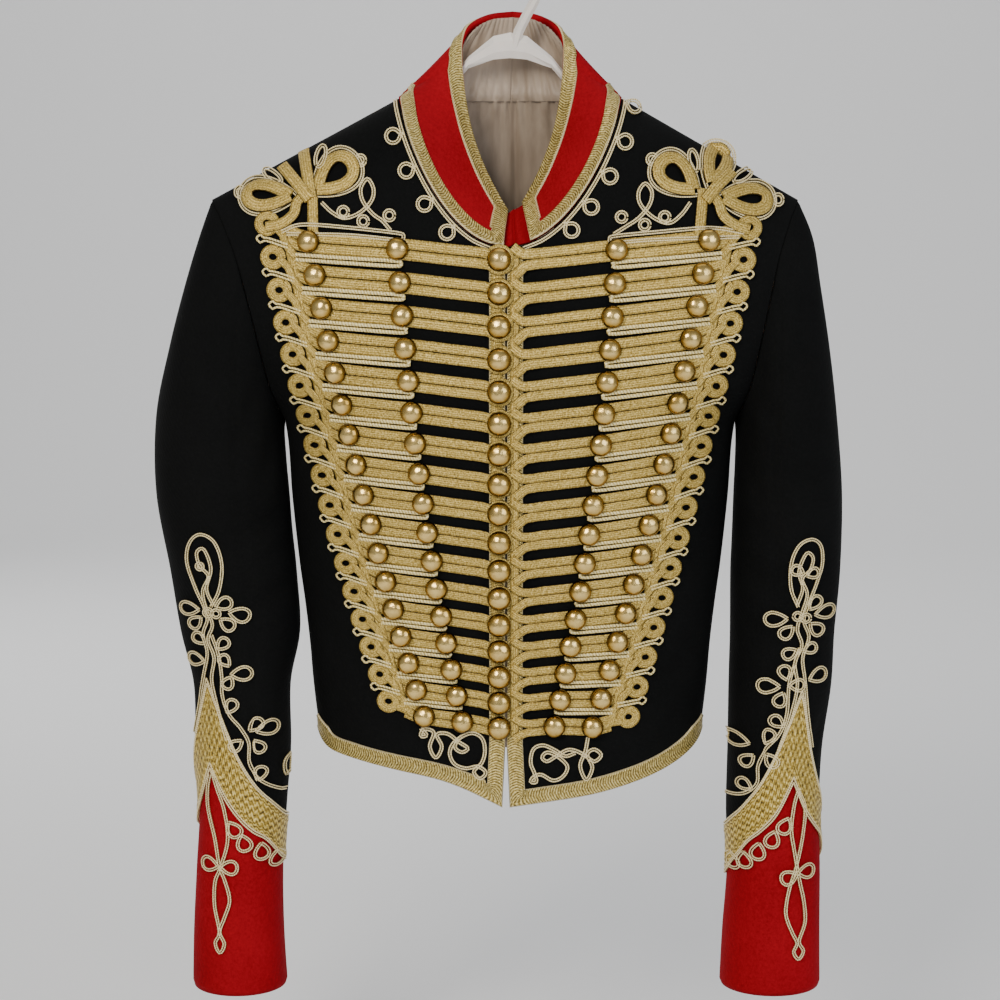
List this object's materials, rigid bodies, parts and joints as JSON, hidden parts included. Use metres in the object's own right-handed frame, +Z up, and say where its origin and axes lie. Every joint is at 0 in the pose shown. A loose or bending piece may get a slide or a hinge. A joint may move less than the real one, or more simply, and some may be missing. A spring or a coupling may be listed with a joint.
{
  "type": "cropped jacket on a hanger",
  "caption": "Cropped hussar-style dress jacket hung on a moulded hanger: standing collar, ball buttons on rows of gold braid, pointed cuffs, knots and lace edging.",
  "frame": {"origin": "inner top of the hanger's hook, where it rests on a rail", "axes": "+X towards the wearer's left, -Y out of the jacket's front, +Z up"},
  "size_m": [0.534, 0.1421, 0.8198],
  "materials": {
    "wool": "matt black wool cloth",
    "red_cloth": "matt red wool cloth",
    "lining": "soft satin",
    "gold_braid": "woven gold braid with gilt ball buttons",
    "pale_cord": "twisted pale gold cord",
    "lace": "woven metallic lace",
    "hanger_plastic": "satin white"
  },
  "bodies": {
    "root": {"front_left": "wool", "top_sleeve_left": "wool", "under_sleeve_left": "wool", "cuff_left": "red_cloth", "cuff_lace_left": "lace", "shoulder_knot_left": "gold_braid", "sleeve_knot_left": "pale_cord", "corner_scroll_left": "pale_cord", "front_lace_left": "lace", "frogging_left_1": "gold_braid", "frogging_left_2": "gold_braid", "frogging_left_3": "gold_braid", "frogging_left_4": "gold_braid", "frogging_left_5": "gold_braid", "frogging_left_6": "gold_braid", "frogging_left_7": "gold_braid", "frogging_left_8": "gold_braid", "frogging_left_9": "gold_braid", "frogging_left_10": "gold_braid", "frogging_left_11": "gold_braid", "frogging_left_12": "gold_braid", "frogging_left_13": "gold_braid", "frogging_left_14": "gold_braid", "frogging_left_15": "gold_braid", "frogging_left_16": "gold_braid", "frogging_left_17": "gold_braid", "front_right": "wool", "top_sleeve_right": "wool", "under_sleeve_right": "wool", "cuff_right": "red_cloth", "cuff_lace_right": "lace", "shoulder_knot_right": "gold_braid", "sleeve_knot_right": "pale_cord", "corner_scroll_right": "pale_cord", "front_lace_right": "lace", "frogging_right_1": "gold_braid", "frogging_right_2": "gold_braid", "frogging_right_3": "gold_braid", "frogging_right_4": "gold_braid", "frogging_right_5": "gold_braid", "frogging_right_6": "gold_braid", "frogging_right_7": "gold_braid", "frogging_right_8": "gold_braid", "frogging_right_9": "gold_braid", "frogging_right_10": "gold_braid", "frogging_right_11": "gold_braid", "frogging_right_12": "gold_braid", "frogging_right_13": "gold_braid", "frogging_right_14": "gold_braid", "frogging_right_15": "gold_braid", "frogging_right_16": "gold_braid", "frogging_right_17": "gold_braid", "back": "wool", "hem_lace_back": "lace", "collar": "red_cloth", "collar_lace": "lace", "collar_lining": "lining", "back_lining": "lining", "under_tab": "red_cloth", "hanger": "hanger_plastic"}
  },
  "joints": []
}
